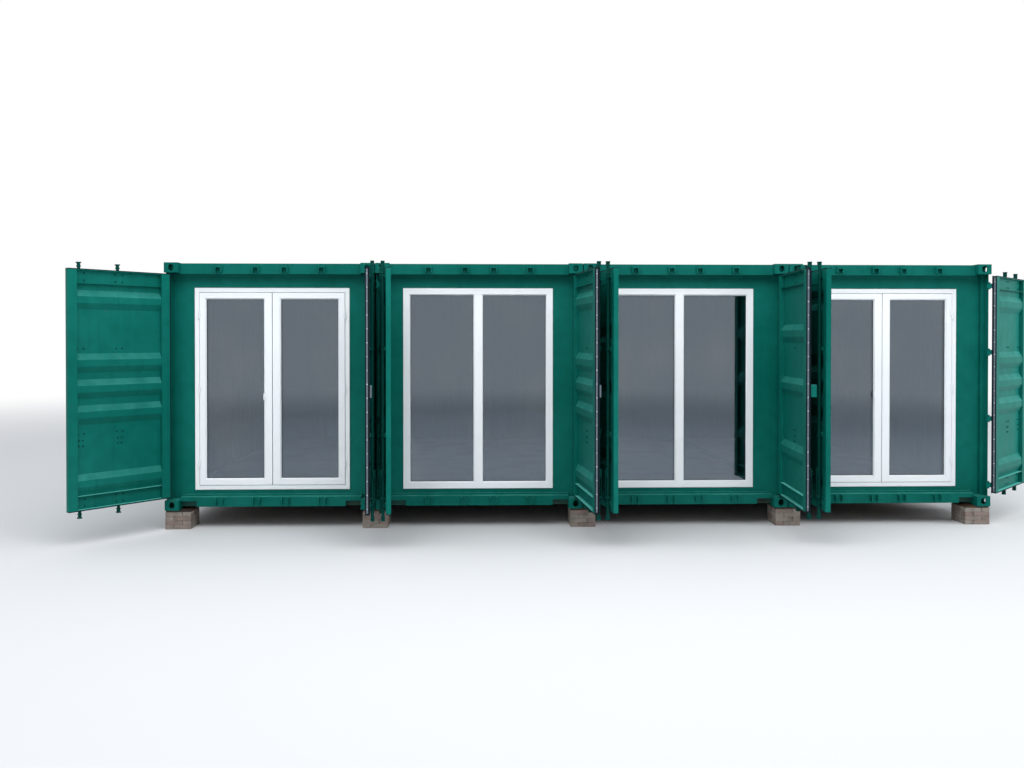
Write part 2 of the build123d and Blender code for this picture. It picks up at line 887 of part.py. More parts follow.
def leaf_section(ribs):
    """Section of a leaf between its stiles: two channel rails and the ribbed sheet."""
    rail_top_edge = leaf_top - leaf_rail_height
    rail_bottom_edge = leaf_bottom + leaf_rail_height
    outer = [(leaf_outer, leaf_top), (leaf_outer, rail_top_edge), (sheet_front, rail_top_edge)]
    for top in ribs:
        outer += [(sheet_front, top), (sheet_front + rib_depth, top - rib_slope_height)]
        outer.append((sheet_front + rib_depth, top - rib_slope_height - rib_face_height))
        outer.append((sheet_front, top - 2 * rib_slope_height - rib_face_height))
    outer += [(sheet_front, rail_bottom_edge), (leaf_outer, rail_bottom_edge), (leaf_outer, leaf_bottom)]
    inner = [(leaf_inner, leaf_bottom), (leaf_inner, leaf_bottom + leaf_rail_sheet)]
    rail_back = leaf_outer + leaf_rail_sheet
    sheet_back = sheet_front + leaf_sheet
    inner += [(rail_back, leaf_bottom + leaf_rail_sheet), (rail_back, rail_bottom_edge - leaf_rail_sheet)]
    inner += [(leaf_inner, rail_bottom_edge - leaf_rail_sheet), (leaf_inner, rail_bottom_edge)]
    inner.append((sheet_back, rail_bottom_edge))
    for top in reversed(ribs):
        inner.append((sheet_back, top - 2 * rib_slope_height - rib_face_height))
        inner.append((sheet_back + rib_depth, top - rib_slope_height - rib_face_height))
        inner += [(sheet_back + rib_depth, top - rib_slope_height), (sheet_back, top)]
    inner += [(sheet_back, rail_top_edge), (leaf_inner, rail_top_edge)]
    inner += [(leaf_inner, rail_top_edge + leaf_rail_sheet), (rail_back, rail_top_edge + leaf_rail_sheet)]
    inner += [(rail_back, leaf_top - leaf_rail_sheet), (leaf_inner, leaf_top - leaf_rail_sheet)]
    inner.append((leaf_inner, leaf_top))
    return outer + inner


def door_leaf(plane, hand, ribs, catch_reach):
    """Welded leaf: stiles, rails, ribbed sheet, hinge blades, bracket feet and any catch."""
    with BuildPart() as leaf:
        span_plane = Plane(
            origin=plane.from_local_coords((stile_inner, 0, 0)),
            x_dir=plane.y_dir * -hand,
            z_dir=plane.x_dir * -hand,
        )
        with BuildSketch(span_plane) as section:
            with BuildLine():
                Polyline(leaf_section(ribs), close=True)
            make_face()
        clear_span = leaf_free_edge - stile_width - stile_inner
        extrude(section.sketch, amount=clear_span, dir=plane.x_dir)
        for start in (leaf_start, leaf_free_edge - stile_width):
            leaf_block(plane, hand, start, start + stile_width, leaf_outer, leaf_inner, leaf_bottom, leaf_top)
        for level in hinge_heights:
            blade = [
                (-barrel_radius, -barrel_radius / 2),
                (-barrel_radius / 2, -barrel_radius),
                (barrel_radius, -barrel_radius / 2),
                (barrel_radius + blade_thickness, leaf_outer - blade_thickness),
                (blade_length, leaf_outer - blade_thickness),
                (blade_length, leaf_outer),
                (leaf_start, leaf_outer),
            ]
            leaf_prism(plane, hand, blade, level - blade_height / 2, level + blade_height / 2)
        for distance in rod_distances:
            for level in bracket_heights:
                leaf_block(
                    plane,
                    hand,
                    distance - bracket_width / 2,
                    distance + bracket_width / 2,
                    rod_depth + rod_radius + rod_bracket_clearance,
                    sheet_front,
                    level - bracket_height / 2,
                    level + bracket_height / 2,
                )
        if catch_reach:
            catch_outline = [
                (leaf_free_edge - catch_width, leaf_outer),
                (leaf_free_edge - catch_width, leaf_outer - catch_reach),
                (leaf_free_edge, leaf_outer - catch_reach),
                (leaf_free_edge, leaf_outer),
                (leaf_free_edge - catch_sheet, leaf_outer),
                (leaf_free_edge - catch_sheet, leaf_outer - catch_reach + catch_sheet),
                (leaf_free_edge - catch_width + catch_sheet, leaf_outer - catch_reach + catch_sheet),
                (leaf_free_edge - catch_width + catch_sheet, leaf_outer),
            ]
            leaf_prism(plane, hand, catch_outline, catch_bottom, catch_top)
            leaf_block(
                plane,
                hand,
                leaf_free_edge - catch_width,
                leaf_free_edge,
                leaf_outer - catch_reach,
                leaf_outer,
                catch_top,
                catch_top + catch_sheet,
            )
    return leaf.part


def lock_gear(plane, hand):
    """Lock rods with their cams, hubs and hanging levers."""
    with BuildPart() as gear:
        for distance, hub_height in zip(rod_distances, hub_heights):
            with BuildSketch(plane.offset(cam_bottom_level + cam_height / 2)) as rod_plan:
                with Locations((distance, -hand * rod_depth)):
                    RegularPolygon(rod_radius, rod_sides, major_radius=False, rotation=rod_turn)
            extrude(rod_plan.sketch, amount=cam_top_level - cam_bottom_level - cam_height)
            for level in (cam_bottom_level, cam_top_level):
                leaf_block(
                    plane,
                    hand,
                    distance - cam_width / 2,
                    distance + cam_width / 2,
                    rod_depth - cam_front_reach,
                    rod_depth + cam_back_reach,
                    level - cam_height / 2,
                    level + cam_height / 2,
                )
            hub_face = rod_depth - rod_radius - hub_stand_out
            leaf_block(
                plane,
                hand,
                distance - hub_width / 2,
                distance + hub_width / 2,
                hub_face,
                rod_depth,
                hub_height - hub_length / 2,
                hub_height + hub_length / 2,
            )
            lever_plane = Plane(
                origin=plane.from_local_coords((distance - lever_width / 2, 0, hub_height)),
                x_dir=plane.y_dir * -hand,
                z_dir=plane.x_dir * -hand,
            )
            lever_face = hub_face - lever_stand_off
            lever_back = lever_face + lever_thickness
            with BuildSketch(lever_plane) as lever:
                with BuildLine():
                    Polyline(
                        [
                            (hub_face, hub_length / 4),
                            (lever_face, -hub_length / 4),
                            (lever_face, -lever_length),
                            (lever_back, -lever_length),
                            (lever_back, -hub_length / 2),
                            (hub_face, -hub_length / 2),
                        ],
                        close=True,
                    )
                make_face()
            extrude(lever.sketch, amount=lever_width, dir=plane.x_dir)
    return gear.part


def door_seal(plane, hand, both_stiles):
    """Channel-shaped rubber round the edges of a leaf, its fins pointing outwards."""
    middle_height = (leaf_bottom + leaf_top) / 2
    with BuildPart() as seal:
        for d_from, d_to, reach in (
            (leaf_outer, leaf_outer + seal_fin, seal_fin_reach),
            (leaf_outer + seal_fin, leaf_inner - seal_fin, seal_base),
            (leaf_inner - seal_fin, leaf_inner, seal_fin_reach),
        ):
            ring_plane = Plane(
                origin=plane.from_local_coords((0, -hand * d_from, middle_height)),
                x_dir=plane.x_dir,
                z_dir=plane.y_dir * -hand,
            )
            ring_start = leaf_start - reach
            ring_end = leaf_free_edge + reach if both_stiles else leaf_free_edge
            with BuildSketch(ring_plane) as ring:
                with Locations(((ring_start + ring_end) / 2, 0)):
                    Rectangle(ring_end - ring_start, leaf_top - leaf_bottom + 2 * reach)
                with Locations(((leaf_start + leaf_free_edge) / 2, 0)):
                    Rectangle(leaf_free_edge - leaf_start, leaf_top - leaf_bottom, mode=Mode.SUBTRACT)
            extrude(ring.sketch, amount=d_to - d_from)
    return seal.part


catch_reaches = (catch_plate_reach, catch_plate_reach, lock_box_reach, 0)
container_names = ("first", "second", "third", "last")
for number, name in enumerate(container_names):
    for hand, side_name in ((-1, "left"), (1, "right")):
        angle = leaf_angles[2 * number + (hand > 0)]
        plane = leaf_plane(number, hand, angle)
        plain_leaf = number == container_count - 2
        ribs = rib_tops_plain_leaf if plain_leaf else rib_tops
        catch_reach = catch_reaches[number] if hand > 0 else 0
        pieces = {
            "door_leaf": door_leaf(plane, hand, ribs, catch_reach),
            "lock_gear": lock_gear(plane, hand),
            "door_seal": door_seal(plane, hand, both_stiles=hand > 0),
        }
        for piece_name, piece in pieces.items():
            piece.label = f"{name}_{side_name}_{piece_name}"
            export_step(piece, f"parts/{piece.label}.step")
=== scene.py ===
import json
import math
import random

import bmesh
import bpy
import numpy as np
from mathutils import Matrix, Vector

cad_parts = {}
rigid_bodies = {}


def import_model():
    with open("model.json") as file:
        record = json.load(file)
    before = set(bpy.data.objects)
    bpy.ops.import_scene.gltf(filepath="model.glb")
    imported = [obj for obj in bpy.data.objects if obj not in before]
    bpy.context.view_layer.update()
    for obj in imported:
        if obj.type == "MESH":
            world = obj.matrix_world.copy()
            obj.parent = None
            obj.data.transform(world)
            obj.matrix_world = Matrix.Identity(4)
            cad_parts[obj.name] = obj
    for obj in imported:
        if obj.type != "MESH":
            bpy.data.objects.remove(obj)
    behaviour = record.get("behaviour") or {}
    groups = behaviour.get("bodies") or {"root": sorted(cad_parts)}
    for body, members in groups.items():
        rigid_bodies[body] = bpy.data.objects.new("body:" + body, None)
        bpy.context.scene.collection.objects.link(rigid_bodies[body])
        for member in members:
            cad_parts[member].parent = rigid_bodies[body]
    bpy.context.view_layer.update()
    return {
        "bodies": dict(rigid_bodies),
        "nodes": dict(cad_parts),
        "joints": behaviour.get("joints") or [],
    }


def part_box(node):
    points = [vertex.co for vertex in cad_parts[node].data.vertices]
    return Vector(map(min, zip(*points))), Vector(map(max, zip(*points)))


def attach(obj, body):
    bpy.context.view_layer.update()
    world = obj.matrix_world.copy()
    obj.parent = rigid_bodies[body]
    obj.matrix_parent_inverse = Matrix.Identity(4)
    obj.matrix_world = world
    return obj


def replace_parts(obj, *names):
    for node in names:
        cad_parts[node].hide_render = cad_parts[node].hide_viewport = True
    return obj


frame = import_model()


# Brick piers: concrete paving bricks laid dry under the corners of the containers,
# four courses high, each course turned the other way round. Nothing bonds them.
brick_long, brick_half, brick_deep, brick_high = 0.196, 0.096, 0.106, 0.0495
brick_chamfer = 0.004
brick_shake = 0.0015
brick_rows = 3
brick_courses = 4
course_high = 0.050
pier_wide, pier_deep = 0.300, 0.330
long_brick_offset, half_brick_offset = 0.050, 0.100
yaw_per_shake = 3


class Signal:
    """A socket of a node tree, so that shader maths reads as plain arithmetic."""

    def __init__(self, shading, socket):
        self.shading = shading
        self.socket = socket

    def maths(self, operation, first, second):
        return self.shading.node("ShaderNodeMath", {"operation": operation}, {0: first, 1: second})

    def __add__(self, other):
        return self.maths("ADD", self, other)

    def __radd__(self, other):
        return self.maths("ADD", other, self)

    def __mul__(self, other):
        return self.maths("MULTIPLY", self, other)

    def __rmul__(self, other):
        return self.maths("MULTIPLY", other, self)


class Shading:
    """A node tree, of a finish or of the sky, that is built by calls."""

    def __init__(self, tree):
        self.tree = tree

    def node(self, kind, settings=None, inputs=None, output=0):
        made = self.tree.nodes.new(kind)
        for name, value in (settings or {}).items():
            setattr(made, name, value)
        for name, value in (inputs or {}).items():
            self.feed(made.inputs[name], value)
        return Signal(self, made.outputs[output])

    def feed(self, socket, value):
        if isinstance(value, Signal):
            self.tree.links.new(value.socket, socket)
        else:
            socket.default_value = value

    def mix(self, factor, first, second):
        inputs = {0: factor, 6: first, 7: second}
        return self.node("ShaderNodeMix", {"data_type": "RGBA"}, inputs, output=2)

    def step(self, value, low, high):
        inputs = {"Value": value, "From Min": low, "From Max": high}
        return self.node("ShaderNodeMapRange", {"interpolation_type": "SMOOTHSTEP"}, inputs)


class Finish(Shading):
    """A material on its own tree, with the shader that it ends in."""

    def __init__(self, name):
        self.material = bpy.data.materials.new(name)
        self.material.use_nodes = True
        super().__init__(self.material.node_tree)
        self.shader = self.tree.nodes["Principled BSDF"]
        self.place = self.node("ShaderNodeTexCoord", output="Object")

    def set(self, values):
        for name, value in values.items():
            self.feed(self.shader.inputs[name], value)

    def cover(self, factor, first, second):
        """Ends the material in a mix of two shaders."""
        mixed = self.node("ShaderNodeMixShader", {}, {0: factor, 1: first, 2: second})
        self.feed(self.tree.nodes["Material Output"].inputs["Surface"], mixed)

    def own_shader(self):
        return Signal(self, self.shader.outputs[0])

    def noise(self, scale, detail=2.0, stretch=(1, 1, 1), roughness=0.5):
        where = self.place
        if stretch != (1, 1, 1):
            factors = {0: where, 1: stretch}
            where = self.node("ShaderNodeVectorMath", {"operation": "MULTIPLY"}, factors)
        inputs = {"Vector": where, "Scale": scale, "Detail": detail, "Roughness": roughness}
        return self.node("ShaderNodeTexNoise", {}, inputs)

    def facing_up(self):
        normal = self.node("ShaderNodeTexCoord", output="Normal")
        return self.node("ShaderNodeSeparateXYZ", {}, {0: normal}, output="Z")

    def piece_tone(self):
        """A random shade of each loose piece of a joined mesh."""
        return self.node("ShaderNodeAttribute", {"attribute_name": "tone"}, output="Fac")

    def bump(self, height, distance, edge_radius=None):
        inputs = {"Height": height, "Distance": distance}
        if edge_radius:
            inputs["Normal"] = self.node("ShaderNodeBevel", {"samples": 4}, {"Radius": edge_radius})
        self.set({"Normal": self.node("ShaderNodeBump", {}, inputs)})


def chamfered_block(size, chamfer):
    """A block about the origin with its edges broken, as corners and faces."""
    shape = bmesh.new()
    half = [side / 2 for side in size]
    for signs in ((x, y, z) for x in (-1, 1) for y in (-1, 1) for z in (-1, 1)):
        for axis in range(3):
            inset = [0 if other == axis else chamfer for other in range(3)]
            shape.verts.new([sign * (reach - cut) for sign, reach, cut in zip(signs, half, inset)])
    bmesh.ops.convex_hull(shape, input=shape.verts)
    bmesh.ops.dissolve_limit(shape, angle_limit=0.01, verts=shape.verts, edges=shape.edges)
    shape.verts.index_update()
    corners = [tuple(vert.co) for vert in shape.verts]
    faces = [[vert.index for vert in face.verts] for face in shape.faces]
    shape.free()
    return corners, faces


tone_random = random.Random(11)
smooth_below = math.radians(35)


def joined(name, copies, body, finish):
    """One mesh with a copy of a template at each place, riding on a body."""
    points, polygons, tones = [], [], []
    for (corners, faces), place in copies:
        shift = len(points)
        turned = np.array([(*corner, 1.0) for corner in corners]) @ np.array(place).T
        points.extend(turned[:, :3].tolist())
        polygons.extend([corner + shift for corner in face] for face in faces)
        tones.extend([tone_random.random()] * len(corners))
    mesh = bpy.data.meshes.new(name)
    mesh.from_pydata(points, [], polygons)
    mesh.attributes.new("tone", "FLOAT", "POINT").data.foreach_set("value", tones)
    shape = bmesh.new()
    shape.from_mesh(mesh)
    bmesh.ops.recalc_face_normals(shape, faces=shape.faces)
    shape.to_mesh(mesh)
    shape.free()
    mesh.shade_smooth()
    mesh.set_sharp_from_angle(angle=smooth_below)
    mesh.materials.append(finish.material)
    piece = bpy.data.objects.new(name, mesh)
    bpy.context.scene.collection.objects.link(piece)
    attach(piece, body)
    return piece


brick = Finish("paving brick")
brick_tone = brick.piece_tone()
brick_grit = brick.noise(150.0, 4.0)
brick_grime = brick.step(brick.noise(11.0, 5.0), 0.42, 0.72)
brick_share = brick.step(brick_tone, 0.1, 0.9)
brick_colour = brick.mix(brick_share, (0.205, 0.145, 0.128, 1), (0.255, 0.225, 0.196, 1))
brick_colour = brick.mix(brick_grime * 0.6, brick_colour, (0.085, 0.076, 0.062, 1))
brick_colour = brick.mix(brick_grit * 0.3, brick_colour, (0.40, 0.36, 0.32, 1))
brick.set({"Base Color": brick_colour, "Roughness": 0.92, "Specular IOR Level": 0.25})
brick.bump(brick_grit + brick.noise(30.0, 3.0), 0.0025)

brick_random = random.Random(7)
bricks = []
long_brick = chamfered_block((brick_long, brick_deep, brick_high), brick_chamfer)
half_brick = chamfered_block((brick_half, brick_deep, brick_high), brick_chamfer)
pier_low, pier_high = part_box("brick_piers")
containers = 4
container_pitch = 2.450
pier_x = [pier_low.x + pier_wide / 2]
pier_x += [container_pitch * (joint - containers / 2) for joint in range(1, containers)]
pier_x.append(pier_high.x - pier_wide / 2)
pier_y = (pier_low.y + pier_deep / 2, pier_high.y - pier_deep / 2)
row_pitch = pier_deep / brick_rows
for x in pier_x:
    for y in pier_y:
        for course in range(brick_courses):
            turn = 1 if course % 2 else -1
            level = (course + 0.5) * course_high
            pair = ((long_brick, -turn * long_brick_offset), (half_brick, turn * half_brick_offset))
            for row in range(brick_rows):
                for template, centre in pair:
                    shake = [brick_random.uniform(-1, 1) * brick_shake for _ in range(3)]
                    along_y = (row - 1) * row_pitch + shake[1] / 2
                    spot = Vector((x + centre + shake[0] / 2, y + along_y, level))
                    yaw = Matrix.Rotation(shake[2] * yaw_per_shake, 4, "Z")
                    bricks.append((template, Matrix.Translation(spot) @ yaw))
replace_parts(joined("pier_bricks", bricks, "cabin", brick), "brick_piers")


# Cap plates: short offcuts of steel plate between the bricks and the castings. They
# spread the load and have rusted to a dark brown.
cap_plate = Finish("rusted plate")
rust_patches = cap_plate.step(cap_plate.noise(9.0, 5.0), 0.4, 0.62)
cap_plate.set({
    "Base Color": cap_plate.mix(rust_patches, (0.022, 0.020, 0.019, 1), (0.070, 0.034, 0.018, 1)),
    "Roughness": 0.55 + rust_patches * 0.35,
    "Specular IOR Level": 0.3,
})
cap_plate.bump(cap_plate.noise(120.0, 4.0), 0.0008, edge_radius=0.002)


def finish_node(node, finish):
    """Gives a fixed part of the frame its finish."""
    slots = frame["nodes"][node].data.materials
    slots.clear()
    slots.append(finish.material)


finish_node("pier_cap_plates", cap_plate)


# Container steel: corner castings, posts, headers, sills and rails, all welded up and
# sprayed in one green enamel. The paint is satin, a little chalky and clean but for
# faint rain streaks and a few small chips down to the primer. Faces that look up get a
# pale green that is partly dust on ledges and partly painted light from above.
paint_green = (0.0015, 0.118, 0.094)
paint_green_chalky = (0.0050, 0.146, 0.119)
paint_green_deep = (0.0008, 0.084, 0.067)
# A pale green for faces that look up: partly dust, partly painted light from above.
paint_dust_and_top_light = (0.095, 0.430, 0.385, 1)
paint_chip = (0.10, 0.045, 0.025, 1)


def container_enamel(name, dust_and_top_light=0.25, streaks=0.35, chips=0.0, gloss=0.40, dents=0.0, shade=1.0):
    """The green enamel, with as much weather and painted top light on it as the piece has."""
    paints = (paint_green, paint_green_chalky, paint_green_deep)
    green, chalky, deep = [(*[channel * shade for channel in colour], 1) for colour in paints]
    paint = Finish(name)
    cloud = paint.step(paint.noise(0.9, 3.0), 0.3, 0.7)
    mottle = paint.step(paint.noise(7.0, 4.0), 0.35, 0.75)
    colour = paint.mix(cloud, green, chalky)
    colour = paint.mix(mottle * 0.35, colour, deep)
    rain = paint.step(paint.noise(2.2, 3.0, stretch=(9, 9, 0.35)), 0.52, 0.78)
    colour = paint.mix(rain * streaks, colour, deep)
    # Painted light from above: faces that look up turn towards the paler green, mixed with dust.
    ledge = paint.step(paint.facing_up(), 0.35, 0.95)
    settled_dust_and_top_light = ledge * dust_and_top_light * (0.4 + paint.step(paint.noise(5.0, 5.0), 0.3, 0.7) * 0.6)
    colour = paint.mix(settled_dust_and_top_light, colour, paint_dust_and_top_light)
    roughness = gloss + paint.noise(3.0, 3.0) * 0.12 + ledge * 0.15
    if chips:
        spots = paint.step(paint.noise(26.0, 3.0), 0.735, 0.755) * chips
        colour = paint.mix(spots, colour, paint_chip)
        roughness = roughness + spots * 0.4
    paint.set({"Base Color": colour, "Roughness": roughness, "Specular IOR Level": 0.06})
    peel = paint.noise(320.0, 1.0) * 0.10
    if dents:
        peel = peel + paint.noise(2.6, 2.0) * dents
    paint.bump(peel, 0.0016, edge_radius=0.0035)
    return paint


frame_enamel = container_enamel("frame enamel", chips=0.6, shade=0.90)
casting_enamel = container_enamel("casting enamel", chips=1.0, gloss=0.48, shade=0.90)
frame_nodes = ["corner_posts", "door_headers", "door_sills"]
frame_nodes += ["top_side_rails", "bottom_side_rails", "rear_rails"]
for node in frame_nodes:
    finish_node(node, frame_enamel)
finish_node("corner_castings", casting_enamel)


# Cross members under the floor: pressed steel angles, painted over with the same enamel
# as the frame but darker with road dirt, since nothing washes them.
under_steel = Finish("underside steel")
road_dirt = under_steel.step(under_steel.noise(3.0, 5.0), 0.35, 0.7)
under_steel.set({
    "Base Color": under_steel.mix(road_dirt, (0.004, 0.070, 0.055, 1), (0.030, 0.028, 0.022, 1)),
    "Roughness": 0.6 + road_dirt * 0.25,
    "Specular IOR Level": 0.3,
})
under_steel.bump(under_steel.noise(60.0, 4.0), 0.0008, edge_radius=0.002)
finish_node("cross_members", under_steel)


# Linings of the sill recesses: thin plates that close the pocket beside each casting at
# its back, top and inner end. They are welded in and take the dark underside finish,
# which paints the shade inside the pocket.
recess_front, recess_back = -0.103, -0.055
recess_low, recess_high = 0.252, 0.317
recess_start, recess_end = 0.871, 1.057
lining = 0.003
lining_chamfer = 0.0005
recess_wide, recess_deep = recess_end - recess_start, recess_back - recess_front
recess_tall = recess_high - recess_low
recess_across, recess_depth = (recess_start + recess_end) / 2, (recess_back + recess_front) / 2
recess_level = (recess_low + recess_high) / 2
recess_plates = [
    ((recess_wide, lining, recess_tall), (recess_across, recess_back + lining / 2, recess_level)),
    ((recess_wide, recess_deep, lining), (recess_across, recess_depth, recess_high + lining / 2)),
    ((lining, recess_deep, recess_tall), (recess_start - lining / 2, recess_depth, recess_level)),
]
middle_index = (containers - 1) / 2
container_middles = [container_pitch * (index - middle_index) for index in range(containers)]
linings = []
for middle in container_middles:
    for hand in (-1, 1):
        for size, (across, depth, level) in recess_plates:
            spot = (middle + hand * across, depth, level)
            linings.append((chamfered_block(size, lining_chamfer), Matrix.Translation(spot)))
joined("recess_linings", linings, "cabin", under_steel)


# Joint covers: flat steel bars tacked over the gaps between the containers, on the roof
# rails and on the floor rails, and strips of black foam pushed in between the posts.
foam = Finish("joint foam")
foam_dust = foam.noise(25.0, 4.0)
foam.set({
    "Base Color": foam.mix(foam_dust, (0.006, 0.007, 0.007, 1), (0.020, 0.022, 0.022, 1)),
    "Roughness": 0.9,
})
foam.bump(foam.noise(300.0, 2.0), 0.0008)
foam_deep = 0.020
post_foam = chamfered_block((0.0238, foam_deep, 2.656), 0.002)
casting_foam = chamfered_block((0.0118, foam_deep, 0.112), 0.001)
foam_depths = (-0.015, 5.850)
post_foam_level = 1.668
casting_foam_levels = (0.279, 3.057)
foams = []
for x in pier_x[1:-1]:
    for depth in foam_depths:
        foams.append((post_foam, Matrix.Translation((x, depth, post_foam_level))))
        for level in casting_foam_levels:
            foams.append((casting_foam, Matrix.Translation((x, depth, level))))
joined("joint_foam", foams, "cabin", foam)
bar_thick, bar_chamfer = 0.003, 0.0008
floor_long, bar_middle = 5.690, 2.854
roof_bar = chamfered_block((0.070, 5.700, bar_thick), bar_chamfer)
floor_bar = chamfered_block((0.096, floor_long, bar_thick), bar_chamfer)
roof_bar_level, floor_bar_level = 3.1115, 0.3995
joint_bars = []
for x in pier_x[1:-1]:
    joint_bars.append((roof_bar, Matrix.Translation((x, bar_middle, roof_bar_level))))
    joint_bars.append((floor_bar, Matrix.Translation((x, bar_middle, floor_bar_level))))
joined("joint_bars", joint_bars, "cabin", frame_enamel)


# Walls and roof: rolled sheet with pressed waves, welded along the rails and posts. The
# sheet is thin, so it shows soft dents, and the roof holds more stains and a pale green
# that is partly dust and partly painted light from above.
wall_enamel = container_enamel("wall enamel", dents=5.0, chips=0.7, streaks=0.5)
roof_enamel = container_enamel("roof enamel", dust_and_top_light=0.14, dents=4.0, chips=1.0, gloss=0.5)
for node in ("left_side_wall", "right_side_wall", "back_walls"):
    finish_node(node, wall_enamel)
finish_node("roof_panels", roof_enamel)


# Floors: container plywood, sheets of keruing veneer varnished brown, screwed to the
# cross members. It is scuffed and dull where loads slid over it.
floor_ply = Finish("floor plywood")
grain = floor_ply.noise(6.0, 6.0, stretch=(14, 1, 14), roughness=0.65)
scuffs = floor_ply.step(floor_ply.noise(2.5, 5.0), 0.45, 0.7)
ply_colour = floor_ply.mix(grain, (0.105, 0.048, 0.022, 1), (0.260, 0.135, 0.065, 1))
ply_colour = floor_ply.mix(scuffs * 0.35, ply_colour, (0.20, 0.16, 0.12, 1))
floor_ply.set({"Base Color": ply_colour, "Roughness": 0.45 + scuffs * 0.3})
floor_ply.bump(grain, 0.0012)
finish_node("plywood_floors", floor_ply)


# Floor edges: a thin steel strip stands between the plywood and each floor rail, tacked
# to the rail's flange. It closes the slot over the fork pockets.
edge_strip = chamfered_block((0.0016, floor_long, 0.018), 0.0004)
edge_inset, edge_level = 0.061, 0.389
edge_strips = []
for middle in container_middles:
    for hand in (-1, 1):
        spot = (middle + hand * (container_pitch / 2 - edge_inset), bar_middle, edge_level)
        edge_strips.append((edge_strip, Matrix.Translation(spot)))
joined("floor_edge_strips", edge_strips, "cabin", under_steel)


# Infill: flat steel plate on a tube frame, welded into the door openings round the
# glazing. It was painted after it was built, so it is cleaner and more even.
infill_enamel = container_enamel("infill enamel", dust_and_top_light=0.15, streaks=0.2, dents=2.5)
for node in ("infill_sides", "infill_heads_and_feet"):
    finish_node(node, infill_enamel)


# White frames: welded plastic profiles with steel inside, fixed through the infill. They
# are smooth, slightly glossy and nearly clean.
white_profile = Finish("white profile")
faint_grime = white_profile.step(white_profile.noise(3.0, 5.0), 0.5, 0.85) * 0.20
white_profile.set({
    "Base Color": white_profile.mix(faint_grime, (0.83, 0.86, 0.89, 1), (0.62, 0.64, 0.64, 1)),
    "Roughness": 0.26 + white_profile.noise(9.0, 3.0) * 0.12,
})
white_profile.bump(white_profile.noise(40.0, 2.0), 0.0003, edge_radius=0.003)
finish_node("glazed_door_frames", white_profile)
finish_node("window_frames", white_profile)
glazed_bodies = [body for body in frame["bodies"] if body.endswith("glazed_door")]


def of_leaf(body, part):
    """The name of a part or piece of a door leaf, after the leaf's body."""
    container, side = body.split("_")[:2]
    return f"{container}_{side}_{part}"


for body in glazed_bodies:
    finish_node(of_leaf(body, "glazed_sash"), white_profile)


# Sealant: a bead of grey silicone run round each white frame, in the corner between the
# profile and the painted infill.
cabin_front = -0.175
casting_level = 0.220
infill_face = cabin_front + 0.178
frame_stand_out = 0.010
frame_face = infill_face - frame_stand_out
frame_bottom, frame_top = 0.217, 2.608
frame_high = frame_top - frame_bottom
frame_middle_level = casting_level + (frame_bottom + frame_top) / 2
frame_offsets = (-0.005, -0.015, -0.045, -0.030)
frame_wides = (1.820, 1.785, 1.785, 1.820)
frame_middles = [middle + offset for middle, offset in zip(container_middles, frame_offsets)]
corner_signs = ((-1, -1), (1, -1), (1, 1), (-1, 1))


def framed(width, height, profile):
    """A mitred ring round an upright rectangle, from insets and depths of its section."""
    corners, faces = [], []
    for x_side, z_side in corner_signs:
        for inset, depth in profile:
            corners.append((x_side * (width / 2 - inset), depth, z_side * (height / 2 - inset)))
    count = len(profile)
    for corner in range(4):
        start, after = corner * count, (corner + 1) % 4 * count
        for edge in range(count):
            follow = (edge + 1) % count
            faces.append([start + edge, start + follow, after + follow, after + edge])
    return corners, faces


silicone = Finish("grey silicone")
silicone_dirt = silicone.step(silicone.noise(12.0, 4.0), 0.4, 0.7)
silicone.set({
    "Base Color": silicone.mix(silicone_dirt, (0.20, 0.22, 0.22, 1), (0.10, 0.12, 0.11, 1)),
    "Roughness": 0.5 + silicone_dirt * 0.2,
})
silicone.bump(silicone.noise(70.0, 3.0), 0.0010)
bead_section = [(0.0, 0.0), (0.0, -0.0050), (-0.0020, -0.0030), (-0.0050, 0.0)]
sealant_beads = []
for middle, width in zip(frame_middles, frame_wides):
    place = Matrix.Translation((middle, infill_face, frame_middle_level))
    sealant_beads.append((framed(width, frame_high, bead_section), place))
joined("frame_sealant", sealant_beads, "cabin", silicone)


# Glazing beads: white plastic strips clipped round each pane, with a black gasket where
# they press on the glass. The lower profiles have small covers over their drain slots.
pane_setback = 0.022
window_face, mullion_face = 0.070, 0.090
pane_wide = (frame_wides[1] - 2 * window_face - mullion_face) / 2
pane_high = frame_high - 2 * window_face
pane_depth = frame_face + pane_setback
bead_clear = 0.0002
glazing_section = [
    (0.0, -0.0160), (0.0025, -0.0185), (0.0100, -0.0125),
    (0.0135, -0.0040), (0.0135, -bead_clear), (0.0, -bead_clear),
]
gasket_section = [
    (0.0136, -bead_clear), (0.0136, -0.0045), (0.0185, -0.0020), (0.0185, -bead_clear),
]
gasket_rubber = Finish("gasket rubber")
gasket_bloom = gasket_rubber.noise(20.0, 3.0)
gasket_colour = gasket_rubber.mix(gasket_bloom, (0.012, 0.012, 0.013, 1), (0.030, 0.031, 0.033, 1))
gasket_rubber.set({
    "Base Color": gasket_colour,
    "Roughness": 0.55 + gasket_bloom * 0.2,
})
window_beads, window_gaskets = [], []
for middle in frame_middles[1:3]:
    for side in (-1, 1):
        across = middle + side * (pane_wide + mullion_face) / 2
        place = Matrix.Translation((across, pane_depth, frame_middle_level))
        window_beads.append((framed(pane_wide, pane_high, glazing_section), place))
        window_gaskets.append((framed(pane_wide, pane_high, gasket_section), place))
joined("window_glazing_beads", window_beads, "cabin", white_profile)
joined("window_gaskets", window_gaskets, "cabin", gasket_rubber)
